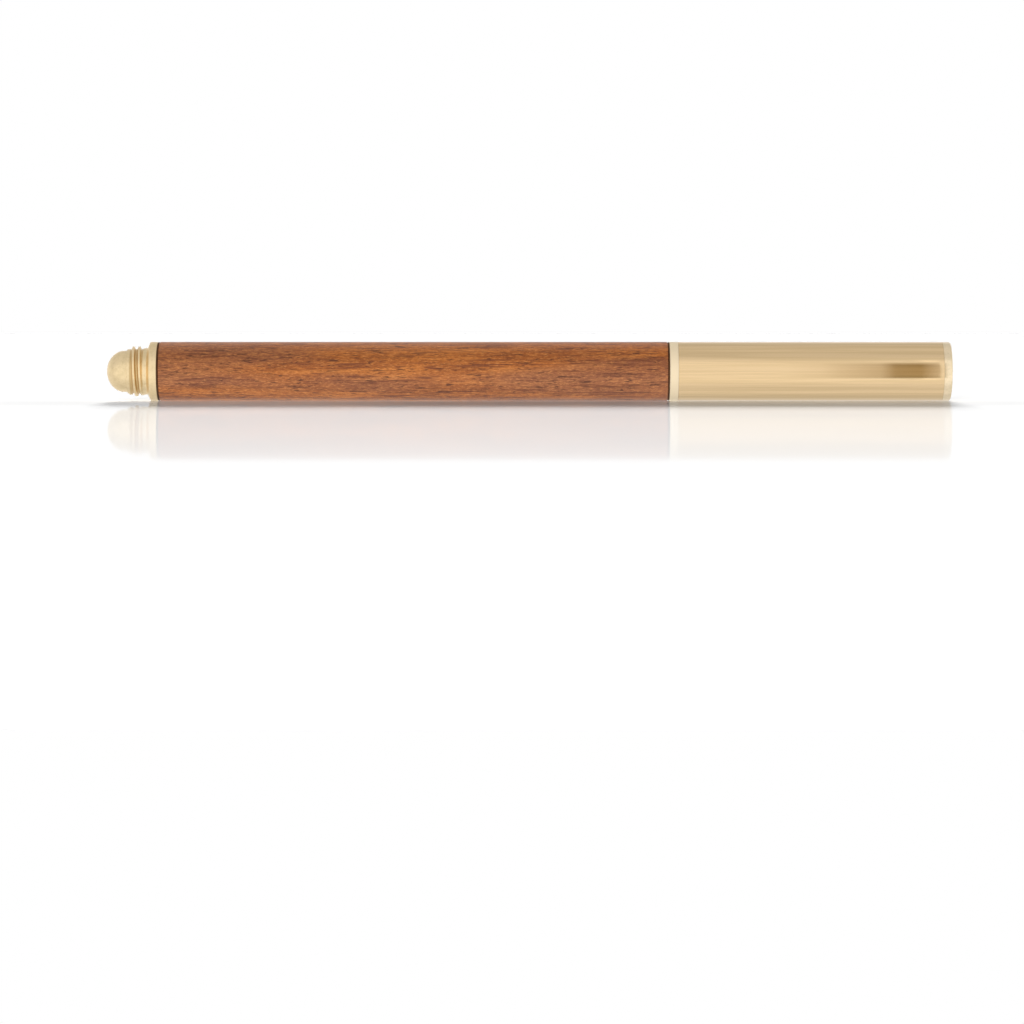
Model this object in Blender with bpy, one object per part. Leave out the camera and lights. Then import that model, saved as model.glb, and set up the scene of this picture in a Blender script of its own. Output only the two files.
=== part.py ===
"""Capped rollerball pen: hardwood sleeve on a brass barrel, brass fittings, brass screw cap.

Every part is turned about one axis along X, AXIS_Z above the surface that the pen lies on.
The tail is at -X and the cap's closed end at +X. The grip and the refill are inside the cap.
"""

import math
from collections import namedtuple

import bmesh
import bpy

MM = 0.001

# Around the axis: flats on each turned part. One of them faces straight down.
SIDES = 32
SMALL_SIDES = 16

# Diameters that set the pen
BARREL_R = 5.0 * MM
AXIS_Z = BARREL_R
CAP_THREAD_PITCH = 1.0 * MM
CAP_THREAD_ROOT_R = 3.76 * MM
CAP_THREAD_CREST_R = 4.24 * MM
REFILL_R = 3.0 * MM
REFILL_LENGTH = 110.5 * MM
TIP_R = 1.03 * MM
BALL_R = 0.35 * MM
RUNNING_GAP = 0.06 * MM
SEAT_GAP = 0.05 * MM

# Lengths that set the pen
TOTAL_LENGTH = 143.2 * MM
TAIL_LENGTH = 8.7 * MM
WASHER_GAP = 0.3 * MM
SLEEVE_LENGTH = 86.2 * MM
FLANGE_LENGTH = 1.45 * MM
COLLAR_NOSE = 4.43 * MM
GRIP_SEAM = 0.22 * MM
GRIP_LENGTH = 17.45 * MM
EXPOSED_LENGTH = 26.65 * MM
CAP_GAP = 0.06 * MM
PLUG_HEAD = 1.4 * MM

# Places along X
TAIL_X = -TOTAL_LENGTH / 2
CAP_END_X = TOTAL_LENGTH / 2
TAIL_FACE_X = TAIL_X + TAIL_LENGTH
SLEEVE_X = TAIL_FACE_X + WASHER_GAP
SLEEVE_END_X = SLEEVE_X + SLEEVE_LENGTH
FLANGE_X = SLEEVE_END_X + WASHER_GAP
COLLAR_X = FLANGE_X + FLANGE_LENGTH
GRIP_X = COLLAR_X + COLLAR_NOSE + GRIP_SEAM
GRIP_END_X = GRIP_X + GRIP_LENGTH
BALL_END_X = COLLAR_X + EXPOSED_LENGTH
REFILL_X = BALL_END_X - REFILL_LENGTH
CAP_X = COLLAR_X + CAP_GAP
PLUG_X = CAP_END_X - PLUG_HEAD

# Barrel: wood over a brass tube that is threaded inside at its front end
WOOD_BORE_R = 4.05 * MM
WOOD_EDGE = 0.15 * MM
TUBE_R = 4.0 * MM
TUBE_BORE_R = 3.36 * MM
WASHER_R = 4.95 * MM
WASHER_BORE_R = 3.7 * MM

# Thread between the barrel and the front section
SPIGOT_R = TUBE_BORE_R - RUNNING_GAP
SPIGOT_BORE_R = REFILL_R + RUNNING_GAP
SPIGOT_LENGTH = 7.5 * MM
SPIGOT_CHAMFER = 0.2 * MM
SECTION_PITCH = 0.75 * MM
SECTION_THREAD_X = FLANGE_X - 3.8 * MM
SECTION_TURNS = 3.2
SECTION_CREST_R = 3.55 * MM
TUBE_THREAD_R = 3.63 * MM
TUBE_RIDGE_R = 3.37 * MM
TUBE_THREAD_TURNS = 3.6
TUBE_RELIEF = 0.65 * MM

# Cap thread on the collar, and the insert that runs on it
CAP_THREAD_X = COLLAR_X + 1.12 * MM
CAP_THREAD_TURNS = 2.28
CAP_THREAD_ROLL = 2
INSERT_THREAD_R = 4.34 * MM
INSERT_RIDGE_R = 3.9 * MM
INSERT_TURNS = 3.1
INSERT_FROM_COLLAR = 0.4 * MM
INSERT_LENGTH = 4.9 * MM
CAP_BORE_R = 4.55 * MM
CAP_EDGE = 0.04 * MM

# Tail, from its tip: dome, the same thread as the cap's, neck, taper, ring, spigot
DOME_LENGTH = 2.95 * MM
DOME_R = 3.5 * MM
DOME_STEPS = 7
TAIL_THREAD_X = TAIL_X + 3.57 * MM
TAIL_THREAD_TURNS = 2.25
TAIL_THREAD_ROLL = 20
TAIL_NECK_R = 3.95 * MM
TAIL_TAPER = 6.95 * MM
TAIL_RING = 7.45 * MM
TAIL_SPIGOT_LENGTH = 3.4 * MM

# Collar
COLLAR_NECK_R = 3.62 * MM
COLLAR_NOSE_R = 3.1 * MM
COLLAR_NOSE_BORE_R = 2.3 * MM
COLLAR_NOSE_END = 9.0 * MM
COLLAR_BORE_STEP = 3.4 * MM

# Grip, with the places of its bore's steps from its rear end
GRIP_REAR_R = 3.72 * MM
GRIP_NOSE_R = 1.66 * MM
GRIP_SHOULDER_R = 1.5 * MM
GRIP_SHOULDER = 0.3 * MM
GRIP_BULGE = 0.26 * MM
GRIP_NOSE = 0.5 * MM
GRIP_STEPS = 8
GRIP_HOLE_R = TIP_R + 0.1 * MM
GRIP_HOLE = 13.9 * MM
GRIP_STEP_R = 1.4 * MM
GRIP_GUIDE_R = 2.1 * MM
GRIP_GUIDE = 10.2 * MM
GRIP_SEAT = 4.5 * MM

# Refill: steel tube, vented plug at its rear, stepped nose at its front
REFILL_BORE_R = 2.7 * MM
REFILL_PLUG_R = REFILL_BORE_R - 0.08 * MM
PLUG_RIM_R = REFILL_R - 0.1 * MM
PLUG_RIM = 0.75 * MM
PLUG_DEPTH = 4.7 * MM
VENT_R = 0.4 * MM
REFILL_TUBE_END_X = BALL_END_X - 24.0 * MM
NOSE_DEPTH = 4.3 * MM
NOSE_RIM_R = 2.95 * MM
NOSE_RIM = 0.3 * MM
NOSE_R = 1.9 * MM
NOSE_END_R = 1.3 * MM
NOSE_END_X = BALL_END_X - 8.4 * MM
NOSE_TAPER = 3.4 * MM
NOSE_SOCKET_R = 0.85 * MM
NOSE_SOCKET = 4.0 * MM
NOSE_HOLE_R = 0.6 * MM

# Ink fibre and wick
FIBRE_R = 2.55 * MM
FIBRE_X = REFILL_X + 5.5 * MM
FIBRE_END_X = BALL_END_X - 29.3 * MM
WICK_R = 0.45 * MM
WICK_X = BALL_END_X - 29.1 * MM
WICK_END_X = BALL_END_X - 5.0 * MM
WICK_SIDES = 12

# Steel point
SHANK_R = 0.8 * MM
SHANK_X = BALL_END_X - 12.2 * MM
SHOULDER_X = BALL_END_X - 8.35 * MM
CONE_X = BALL_END_X - 2.9 * MM
LIP_X = BALL_END_X - 0.6 * BALL_R
LIP_R = BALL_R + 0.03 * MM
LIP_HOLE_R = BALL_R - 0.015 * MM
LIP_DEPTH = 0.04 * MM
SOCKET_R = BALL_R + 0.02 * MM
INK_HOLE_R = 0.3 * MM
INK_END_X = BALL_END_X - 4.8 * MM
WICK_HOLE_R = 0.55 * MM

# Cap's end plug and inner cap
PLUG_SHANK = 3.3 * MM
PLUG_ROUND = 0.35 * MM
PLUG_STEPS = 3
LINER_FROM_COLLAR = 5.5 * MM
LINER_FROM_END = 3.7 * MM
LINER_WALL = 1.0 * MM
LINER_R = CAP_BORE_R - 0.1 * MM
LINER_BORE_R = 3.95 * MM
LINER_LIP = 0.6 * MM
LINER_LIP_R = GRIP_REAR_R + RUNNING_GAP

# Spring behind the refill
SPRING_BORE_R = 2.7 * MM
SPRING_BORE_X = TAIL_X + 8.1 * MM
SPRING_R = 2.2 * MM
WIRE_R = 0.2 * MM
SPRING_TURNS = 6
POINTS_PER_TURN = 10

# A helical ridge between two stations of an outline. Its flanks, its crest and the groove
# beside it each take a quarter of the pitch.
Thread = namedtuple("Thread", "start pitch turns ridge_r")
FADE_STEPS = 5


def clear_scene():
    for obj in list(bpy.data.objects):
        bpy.data.objects.remove(obj, do_unlink=True)


def material(name, colour, roughness, metallic=0.0):
    made = bpy.data.materials.new(name)
    made.use_nodes = True
    shader = made.node_tree.nodes["Principled BSDF"]
    shader.inputs["Base Color"].default_value = (*colour, 1.0)
    shader.inputs["Roughness"].default_value = roughness
    shader.inputs["Metallic"].default_value = metallic
    return made


def brass(name, roughness=0.3):
    return material(name, (0.80, 0.60, 0.33), roughness, metallic=1.0)


def steel(name, roughness=0.3):
    return material(name, (0.62, 0.62, 0.64), roughness, metallic=1.0)


def plastic(name, grey):
    return material(name, (grey, grey, grey), 0.5)


def vertex(bm, x, r, step, sides):
    """A corner on a circle of flats whose middles, not corners, are r from the axis."""
    turn = 2 * math.pi * (step + 0.5) / sides
    corner_r = r / math.cos(math.pi / sides)
    return bm.verts.new((x, corner_r * math.cos(turn), corner_r * math.sin(turn)))


def ring(bm, x, r, sides):
    if r == 0:
        return [bm.verts.new((x, 0, 0))]
    return [vertex(bm, x, r, step, sides) for step in range(sides)]


def bridge(bm, low, high, sides):
    for step in range(sides):
        after = (step + 1) % sides
        corners = [low[step % len(low)], low[after % len(low)]]
        corners += [high[after % len(high)], high[step % len(high)]]
        bm.faces.new(list(dict.fromkeys(corners)))


def wind_thread(bm, low, high, base_r, thread, sides):
    """The ridge is a strip that winds from low to high. Each turn shares an edge with the next."""
    steps = round(thread.turns * sides)
    rows = []
    for step in range(steps + 1):
        rise = min(1.0, step / FADE_STEPS, (steps - step) / FADE_STEPS)
        crest_r = base_r + rise * (thread.ridge_r - base_r)
        x = thread.start + thread.pitch * step / sides
        section = ((0.0, base_r), (0.25, crest_r), (0.5, crest_r), (0.75, base_r))
        rows.append([vertex(bm, x + part * thread.pitch, r, step, sides) for part, r in section])
    for step, row in enumerate(rows):
        if step + sides <= steps:
            row.append(rows[step + sides][0])
        else:
            x = thread.start + thread.pitch * (step / sides + 1)
            row.append(vertex(bm, x, base_r, step, sides))
    for row, after in zip(rows, rows[1:]):
        for i in range(4):
            bm.faces.new((row[i], row[i + 1], after[i + 1], after[i]))
    for step in range(sides - 1):
        bm.faces.new((low[step], rows[step][0], rows[step + 1][0], low[step + 1]))
    bm.faces.new([low[-1], rows[sides - 1][0], *reversed(rows[0]), low[0]])
    for step in range(steps - sides + 1, steps):
        here, after = high[step % sides], high[(step + 1) % sides]
        bm.faces.new((rows[step][4], here, after, rows[step + 1][4]))
    here, after = high[steps % sides], high[(steps + 1) % sides]
    bm.faces.new([*rows[steps], here, after, rows[steps - sides + 1][4]])


def finish_mesh(bm, name, look, group, x=0.0):
    bmesh.ops.recalc_face_normals(bm, faces=bm.faces)
    mesh = bpy.data.meshes.new(name)
    bm.to_mesh(mesh)
    bm.free()
    mesh.materials.append(look)
    mesh.shade_smooth()
    mesh.set_sharp_from_angle(angle=math.radians(30))
    return place(bpy.data.objects.new(name, mesh), group, x)


def place(obj, group, x=0.0):
    bpy.context.scene.collection.objects.link(obj)
    obj.parent = group
    obj.location = (x, 0.0, 0.0)
    return obj


def turned(name, look, group, outline, sides=SIDES):
    """Turn an outline of (x, r) stations, with a Thread where a ridge winds between two of them.

    An outline that starts and ends on the axis is solid. Any other one closes on itself.
    """
    bm = bmesh.new()
    stations = [item for item in outline if not isinstance(item, Thread)]
    rings = [ring(bm, x, r, sides) for x, r in stations]
    links = list(zip(range(len(rings)), range(1, len(rings))))
    if stations[0][1] > 0:
        links.append((len(rings) - 1, 0))
    threads = {}
    for place_in, item in enumerate(outline):
        if isinstance(item, Thread):
            threads[place_in - len(threads)] = item
    for a, b in links:
        if b in threads:
            low, high = sorted((a, b), key=lambda i: stations[i][0])
            wind_thread(bm, rings[low], rings[high], stations[low][1], threads[b], sides)
        else:
            bridge(bm, rings[a], rings[b], sides)
    return finish_mesh(bm, name, look, group)


def roll(obj, steps):
    """Turn a piece by whole flats, so that its thread starts further round."""
    obj.rotation_euler.x = 2 * math.pi * steps / SIDES


def tube(name, look, group, x0, x1, r, bore_r, sides=SIDES):
    return turned(name, look, group, [(x0, bore_r), (x0, r), (x1, r), (x1, bore_r)], sides)


def rod(name, look, group, x0, x1, r, sides=SMALL_SIDES):
    return turned(name, look, group, [(x0, 0), (x0, r), (x1, r), (x1, 0)], sides)


def wood_sleeve(group):
    look = material("wood", (0.36, 0.15, 0.065), 0.45)
    outline = [
        (SLEEVE_X, WOOD_BORE_R),
        (SLEEVE_X, BARREL_R - WOOD_EDGE),
        (SLEEVE_X + WOOD_EDGE, BARREL_R),
        (SLEEVE_END_X - WOOD_EDGE, BARREL_R),
        (SLEEVE_END_X, BARREL_R - WOOD_EDGE),
        (SLEEVE_END_X, WOOD_BORE_R),
    ]
    turned("wood_sleeve", look, group, outline)


def barrel_tube(group):
    relief_x = SECTION_THREAD_X - TUBE_RELIEF
    ridge_x = SECTION_THREAD_X - SECTION_PITCH / 2
    outline = [
        (SLEEVE_X, TUBE_BORE_R),
        (SLEEVE_X, TUBE_R),
        (SLEEVE_END_X, TUBE_R),
        (SLEEVE_END_X, TUBE_THREAD_R),
        Thread(ridge_x, SECTION_PITCH, TUBE_THREAD_TURNS, TUBE_RIDGE_R),
        (relief_x, TUBE_THREAD_R),
        (relief_x, TUBE_BORE_R),
    ]
    turned("barrel_tube", brass("tube_brass"), group, outline)


def tail_finial(group):
    """Solid dome, thread for the cap, neck, ring, and a spigot bored for the spring."""
    dome = []
    for i in range(DOME_STEPS + 1):
        turn = math.pi / 2 * i / DOME_STEPS
        x = TAIL_X + DOME_LENGTH * (1 - math.cos(turn))
        dome.append((x, DOME_R * math.sin(turn)))
    thread_end = TAIL_THREAD_X + (TAIL_THREAD_TURNS + 1) * CAP_THREAD_PITCH + SEAT_GAP
    spigot_end = TAIL_FACE_X + TAIL_SPIGOT_LENGTH
    outline = [
        *dome,
        (TAIL_THREAD_X - SEAT_GAP, DOME_R),
        (TAIL_THREAD_X - SEAT_GAP, CAP_THREAD_ROOT_R),
        Thread(TAIL_THREAD_X, CAP_THREAD_PITCH, TAIL_THREAD_TURNS, CAP_THREAD_CREST_R),
        (thread_end, CAP_THREAD_ROOT_R),
        (thread_end, TAIL_NECK_R),
        (TAIL_X + TAIL_TAPER, TAIL_NECK_R),
        (TAIL_X + TAIL_RING, BARREL_R),
        (TAIL_FACE_X, BARREL_R),
        (TAIL_FACE_X, SPIGOT_R),
        (spigot_end - SPIGOT_CHAMFER, SPIGOT_R),
        (spigot_end, SPIGOT_R - SPIGOT_CHAMFER),
        (spigot_end, SPRING_BORE_R),
        (SPRING_BORE_X, SPRING_BORE_R),
        (SPRING_BORE_X, 0),
    ]
    roll(turned("tail_finial", brass("tail_brass"), group, outline), TAIL_THREAD_ROLL)


def washer(name, group, x):
    """Thin dark washer that keeps a brass face off the end grain."""
    look = material(name + "_fibre", (0.05, 0.022, 0.01), 0.8)
    thickness = WASHER_GAP - 2 * SEAT_GAP
    tube(name, look, group, x + SEAT_GAP, x + SEAT_GAP + thickness, WASHER_R, WASHER_BORE_R)


def front_collar(group):
    """Spigot that screws into the barrel, ring, neck, cap thread, and a nose for the grip."""
    spigot_x = FLANGE_X - SPIGOT_LENGTH
    section_end = SECTION_THREAD_X + (SECTION_TURNS + 1) * SECTION_PITCH + SEAT_GAP
    face_x = COLLAR_X + COLLAR_NOSE
    nose_x = COLLAR_X + COLLAR_NOSE_END
    bore_step_x = COLLAR_X + COLLAR_BORE_STEP
    outline = [
        (spigot_x, SPIGOT_BORE_R),
        (spigot_x, SPIGOT_R - SPIGOT_CHAMFER),
        (spigot_x + SPIGOT_CHAMFER, SPIGOT_R),
        (SECTION_THREAD_X - SEAT_GAP, SPIGOT_R),
        Thread(SECTION_THREAD_X, SECTION_PITCH, SECTION_TURNS, SECTION_CREST_R),
        (section_end, SPIGOT_R),
        (FLANGE_X, SPIGOT_R),
        (FLANGE_X, BARREL_R),
        (COLLAR_X, BARREL_R),
        (COLLAR_X, COLLAR_NECK_R),
        (CAP_THREAD_X - SEAT_GAP, COLLAR_NECK_R),
        (CAP_THREAD_X - SEAT_GAP, CAP_THREAD_ROOT_R),
        Thread(CAP_THREAD_X, CAP_THREAD_PITCH, CAP_THREAD_TURNS, CAP_THREAD_CREST_R),
        (face_x, CAP_THREAD_ROOT_R),
        (face_x, COLLAR_NOSE_R),
        (nose_x, COLLAR_NOSE_R),
        (nose_x, COLLAR_NOSE_BORE_R),
        (bore_step_x, COLLAR_NOSE_BORE_R),
        (bore_step_x, SPIGOT_BORE_R),
    ]
    roll(turned("front_collar", brass("collar_brass"), group, outline), CAP_THREAD_ROLL)


def grip_cone(group):
    """Bowed cone over the collar's nose, with a stepped bore that seats the refill."""
    taper_end = GRIP_END_X - GRIP_NOSE
    bowed = []
    for i in range(GRIP_STEPS + 1):
        t = i / GRIP_STEPS
        r = GRIP_REAR_R + (GRIP_NOSE_R - GRIP_REAR_R) * t + 4 * GRIP_BULGE * t * (1 - t)
        bowed.append((GRIP_X + (taper_end - GRIP_X) * t, r))
    outline = [
        *bowed,
        (taper_end + GRIP_SHOULDER, GRIP_SHOULDER_R),
        (GRIP_END_X, GRIP_HOLE_R),
        (GRIP_X + GRIP_HOLE, GRIP_HOLE_R),
        (GRIP_X + GRIP_HOLE, GRIP_STEP_R),
        (GRIP_X + GRIP_GUIDE, GRIP_GUIDE_R),
        (GRIP_X + GRIP_SEAT, GRIP_GUIDE_R),
        (GRIP_X + GRIP_SEAT, COLLAR_NOSE_R + RUNNING_GAP),
        (GRIP_X, COLLAR_NOSE_R + RUNNING_GAP),
    ]
    turned("grip_cone", brass("grip_brass", 0.2), group, outline)


def refill_shell(group):
    """Steel tube, vented end plug and stepped plastic nose."""
    rim_x = REFILL_X + PLUG_RIM
    tube("refill_tube", steel("refill_steel"), group, rim_x + SEAT_GAP, REFILL_TUBE_END_X,
         REFILL_R, REFILL_BORE_R)
    plug = [
        (REFILL_X, VENT_R),
        (REFILL_X, PLUG_RIM_R),
        (rim_x, PLUG_RIM_R),
        (rim_x, REFILL_PLUG_R),
        (REFILL_X + PLUG_DEPTH, REFILL_PLUG_R),
        (REFILL_X + PLUG_DEPTH, VENT_R),
    ]
    turned("refill_end_plug", plastic("plug_plastic", 0.75), group, plug, SMALL_SIDES)
    nose_x = REFILL_TUBE_END_X - NOSE_DEPTH
    nose_rim_x = REFILL_TUBE_END_X + SEAT_GAP
    socket_x = NOSE_END_X - NOSE_SOCKET
    nose = [
        (nose_x, NOSE_HOLE_R),
        (nose_x, REFILL_PLUG_R),
        (nose_rim_x, REFILL_PLUG_R),
        (nose_rim_x, NOSE_RIM_R),
        (nose_rim_x + NOSE_RIM, NOSE_RIM_R),
        (nose_rim_x + NOSE_RIM, NOSE_R),
        (NOSE_END_X - NOSE_TAPER, NOSE_R),
        (NOSE_END_X, NOSE_END_R),
        (NOSE_END_X, NOSE_SOCKET_R),
        (socket_x, NOSE_SOCKET_R),
        (socket_x, NOSE_HOLE_R),
    ]
    turned("refill_nose", plastic("nose_plastic", 0.05), group, nose, SMALL_SIDES)


def refill_inside(group):
    fibre = material("ink_fibre", (0.03, 0.035, 0.08), 0.9)
    rod("ink_reservoir", fibre, group, FIBRE_X, FIBRE_END_X, FIBRE_R)
    felt = material("wick_felt", (0.05, 0.05, 0.1), 0.9)
    rod("feed_wick", felt, group, WICK_X, WICK_END_X, WICK_R, WICK_SIDES)


def tip_holder(group):
    """Steel point: shank in the refill's nose, straight part, cone, and the ball's socket."""
    socket_end = BALL_END_X - 2 * BALL_R - SEAT_GAP
    outline = [
        (SHANK_X, WICK_HOLE_R),
        (SHANK_X, SHANK_R),
        (SHOULDER_X, SHANK_R),
        (SHOULDER_X, TIP_R),
        (CONE_X, TIP_R),
        (LIP_X, LIP_R),
        (LIP_X, LIP_HOLE_R),
        (LIP_X - LIP_DEPTH, SOCKET_R),
        (socket_end, SOCKET_R),
        (socket_end, INK_HOLE_R),
        (INK_END_X, INK_HOLE_R),
        (INK_END_X, WICK_HOLE_R),
    ]
    turned("tip_holder", steel("tip_steel", 0.2), group, outline, SMALL_SIDES)


def writing_ball(group):
    bm = bmesh.new()
    bmesh.ops.create_uvsphere(bm, u_segments=12, v_segments=8, radius=BALL_R)
    finish_mesh(bm, "writing_ball", steel("ball_carbide", 0.15), group, BALL_END_X - BALL_R)


def refill_spring(group):
    """Compression spring between the bottom of the tail's bore and the refill's end plug."""
    start = SPRING_BORE_X + WIRE_R + SEAT_GAP
    length = REFILL_X - SEAT_GAP - WIRE_R - start
    curve = bpy.data.curves.new("refill_spring", "CURVE")
    curve.dimensions = "3D"
    curve.bevel_depth = WIRE_R
    curve.bevel_resolution = 1
    curve.use_fill_caps = True
    spline = curve.splines.new("POLY")
    count = SPRING_TURNS * POINTS_PER_TURN + 1
    spline.points.add(count - 1)
    for i, point in enumerate(spline.points):
        turn = 2 * math.pi * i / POINTS_PER_TURN
        x = start + length * i / (count - 1)
        point.co = (x, SPRING_R * math.cos(turn), SPRING_R * math.sin(turn), 1.0)
    curve.materials.append(steel("spring_steel"))
    place(bpy.data.objects.new("refill_spring", curve), group)


def cap_shell(group):
    """Outer tube, the threaded insert in its mouth, and the plug that closes its end."""
    outline = [
        (CAP_X, CAP_BORE_R),
        (CAP_X, BARREL_R - CAP_EDGE),
        (CAP_X + CAP_EDGE, BARREL_R),
        (PLUG_X - SEAT_GAP, BARREL_R),
        (PLUG_X - SEAT_GAP, CAP_BORE_R),
    ]
    turned("cap_tube", brass("cap_brass", 0.18), group, outline)

    insert_x = COLLAR_X + INSERT_FROM_COLLAR
    insert_end = insert_x + INSERT_LENGTH
    insert_r = CAP_BORE_R - SEAT_GAP
    ridge_x = CAP_THREAD_X - CAP_THREAD_PITCH / 2
    outline = [
        (insert_x, insert_r),
        (insert_end, insert_r),
        (insert_end, INSERT_THREAD_R),
        Thread(ridge_x, CAP_THREAD_PITCH, INSERT_TURNS, INSERT_RIDGE_R),
        (insert_x, INSERT_THREAD_R),
    ]
    roll(turned("cap_thread_insert", brass("insert_brass"), group, outline), CAP_THREAD_ROLL)

    shank_x = CAP_END_X - PLUG_SHANK
    rounded = []
    for i in range(PLUG_STEPS + 1):
        turn = math.pi / 2 * i / PLUG_STEPS
        x = CAP_END_X - PLUG_ROUND * (1 - math.sin(turn))
        rounded.append((x, BARREL_R - PLUG_ROUND * (1 - math.cos(turn))))
    outline = [
        (shank_x, 0),
        (shank_x, insert_r - SPIGOT_CHAMFER),
        (shank_x + SPIGOT_CHAMFER, insert_r),
        (PLUG_X, insert_r),
        (PLUG_X, BARREL_R),
        *rounded,
        (CAP_END_X, 0),
    ]
    turned("cap_end_plug", brass("plug_brass", 0.25), group, outline)


def inner_cap(group):
    """Plastic cup inside the cap. Its lip closes round the rear of the grip."""
    mouth_x = COLLAR_X + LINER_FROM_COLLAR
    end_x = CAP_END_X - LINER_FROM_END
    outline = [
        (end_x - LINER_WALL, 0),
        (end_x - LINER_WALL, LINER_BORE_R),
        (mouth_x + 2 * LINER_LIP, LINER_BORE_R),
        (mouth_x + LINER_LIP, LINER_LIP_R),
        (mouth_x, LINER_LIP_R),
        (mouth_x, LINER_R - SPIGOT_CHAMFER),
        (mouth_x + SPIGOT_CHAMFER, LINER_R),
        (end_x, LINER_R),
        (end_x, 0),
    ]
    turned("inner_cap", plastic("liner_plastic", 0.06), group, outline)


def empty(name, parent=None, z=0.0):
    made = bpy.data.objects.new(name, None)
    bpy.context.scene.collection.objects.link(made)
    made.parent = parent
    made.location = (0.0, 0.0, z)
    return made


def main():
    clear_scene()
    pen = empty("pen_axis", z=AXIS_Z)
    section = empty("front_section_axis", pen)
    cap = empty("cap_axis", section)
    refill = empty("refill_axis", pen)
    wood_sleeve(pen)
    barrel_tube(pen)
    tail_finial(pen)
    washer("tail_washer", pen, TAIL_FACE_X)
    refill_spring(pen)
    washer("front_washer", section, SLEEVE_END_X)
    front_collar(section)
    grip_cone(section)
    refill_shell(refill)
    refill_inside(refill)
    tip_holder(refill)
    writing_ball(refill)
    inner_cap(cap)
    cap_shell(cap)


main()
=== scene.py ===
"""The looks of the rollerball pen: finely turned parts, wood grain, satin and polished brass.

Each CAD node is replaced by a fine piece of the same size, in the same place. It rides on the
node's body, apart from the spring, which stays where it is made and rides on no body. Lengths
are in metres, and the pen's axis lies along X.
"""

import math

import bpy
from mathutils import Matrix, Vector


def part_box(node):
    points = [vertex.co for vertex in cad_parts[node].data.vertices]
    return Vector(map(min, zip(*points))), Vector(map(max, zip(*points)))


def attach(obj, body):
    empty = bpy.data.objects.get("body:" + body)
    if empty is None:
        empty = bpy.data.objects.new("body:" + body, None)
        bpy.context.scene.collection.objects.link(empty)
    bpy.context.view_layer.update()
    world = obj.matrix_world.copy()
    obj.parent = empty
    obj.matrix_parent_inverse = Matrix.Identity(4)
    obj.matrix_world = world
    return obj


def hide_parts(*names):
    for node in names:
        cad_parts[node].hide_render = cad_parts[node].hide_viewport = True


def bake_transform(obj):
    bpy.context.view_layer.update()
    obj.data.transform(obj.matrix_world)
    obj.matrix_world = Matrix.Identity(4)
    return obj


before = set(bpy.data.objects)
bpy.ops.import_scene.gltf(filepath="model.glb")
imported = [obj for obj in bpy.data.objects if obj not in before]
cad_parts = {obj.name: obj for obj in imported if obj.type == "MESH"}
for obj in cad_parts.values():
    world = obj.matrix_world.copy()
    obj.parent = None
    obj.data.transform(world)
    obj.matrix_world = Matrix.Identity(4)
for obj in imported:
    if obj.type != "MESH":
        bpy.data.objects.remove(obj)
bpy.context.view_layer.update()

MM = 0.001

# Places taken from the frame
WOOD_LOW, WOOD_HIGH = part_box("wood_sleeve")
TAIL_LOW, TAIL_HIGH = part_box("tail_finial")
COLLAR_LOW, COLLAR_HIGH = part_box("front_collar")
GRIP_LOW, GRIP_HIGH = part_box("grip_cone")
CAP_LOW, CAP_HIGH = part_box("cap_tube")
PLUG_LOW, PLUG_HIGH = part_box("cap_end_plug")
INSERT_LOW, INSERT_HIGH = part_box("cap_thread_insert")
LINER_LOW, LINER_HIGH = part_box("inner_cap")
REFILL_LOW, REFILL_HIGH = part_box("refill_tube")
END_PLUG_LOW, END_PLUG_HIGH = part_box("refill_end_plug")
NOSE_LOW, NOSE_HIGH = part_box("refill_nose")
TIP_LOW, TIP_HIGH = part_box("tip_holder")
BALL_LOW, BALL_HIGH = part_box("writing_ball")
SPRING_LOW, SPRING_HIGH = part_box("refill_spring")

BARREL_R = (WOOD_HIGH.z - WOOD_LOW.z) / 2
REFILL_R = (REFILL_HIGH.z - REFILL_LOW.z) / 2
BALL_R = (BALL_HIGH.x - BALL_LOW.x) / 2
AXIS_Z = WOOD_LOW.z + BARREL_R
TAIL_FACE_X = TAIL_HIGH.x - 3.4 * MM
FLANGE_X = WOOD_HIGH.x + 0.3 * MM
COLLAR_X = FLANGE_X + 1.45 * MM
COLLAR_FACE_X = COLLAR_X + 4.43 * MM
BALL_END_X = BALL_HIGH.x
CONE_X = BALL_END_X - 2.9 * MM

# Radii that mating pieces share
SPIGOT_R = 3.3 * MM
BORE_R = 3.06 * MM
GRIP_REAR_R = 3.72 * MM
CAP_BORE_R = 4.55 * MM
REFILL_PLUG_R = 2.62 * MM
WICK_HOLE_R = 0.6 * MM

# Threads. A roll is where round the axis a thread starts, as a fraction of a turn.
THREAD_ROOT_R = 3.76 * MM
THREAD_CREST_R = 4.24 * MM
CAP_PITCH = 1.0 * MM
CAP_ROLL = 2.5 / 32
TAIL_ROLL = 20.5 / 32
SECTION_PITCH = 0.75 * MM
SECTION_THREAD_X = FLANGE_X - 3.8 * MM

# Roundings of turned edges, from the keenest to the softest
KEEN = 0.03 * MM
SHARP = 0.05 * MM
EASED = 0.08 * MM
BROKEN = 0.10 * MM
ROUND = 0.15 * MM
SOFT = 0.20 * MM

# Fineness of the turned meshes
AROUND_OUTSIDE = 256
AROUND = 160
AROUND_POINT = 96
AROUND_SMALL = 64
ARC_STEPS = 5
LONGEST_STEP = 4.0 * MM
ROWS_PER_PITCH = 20


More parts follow.
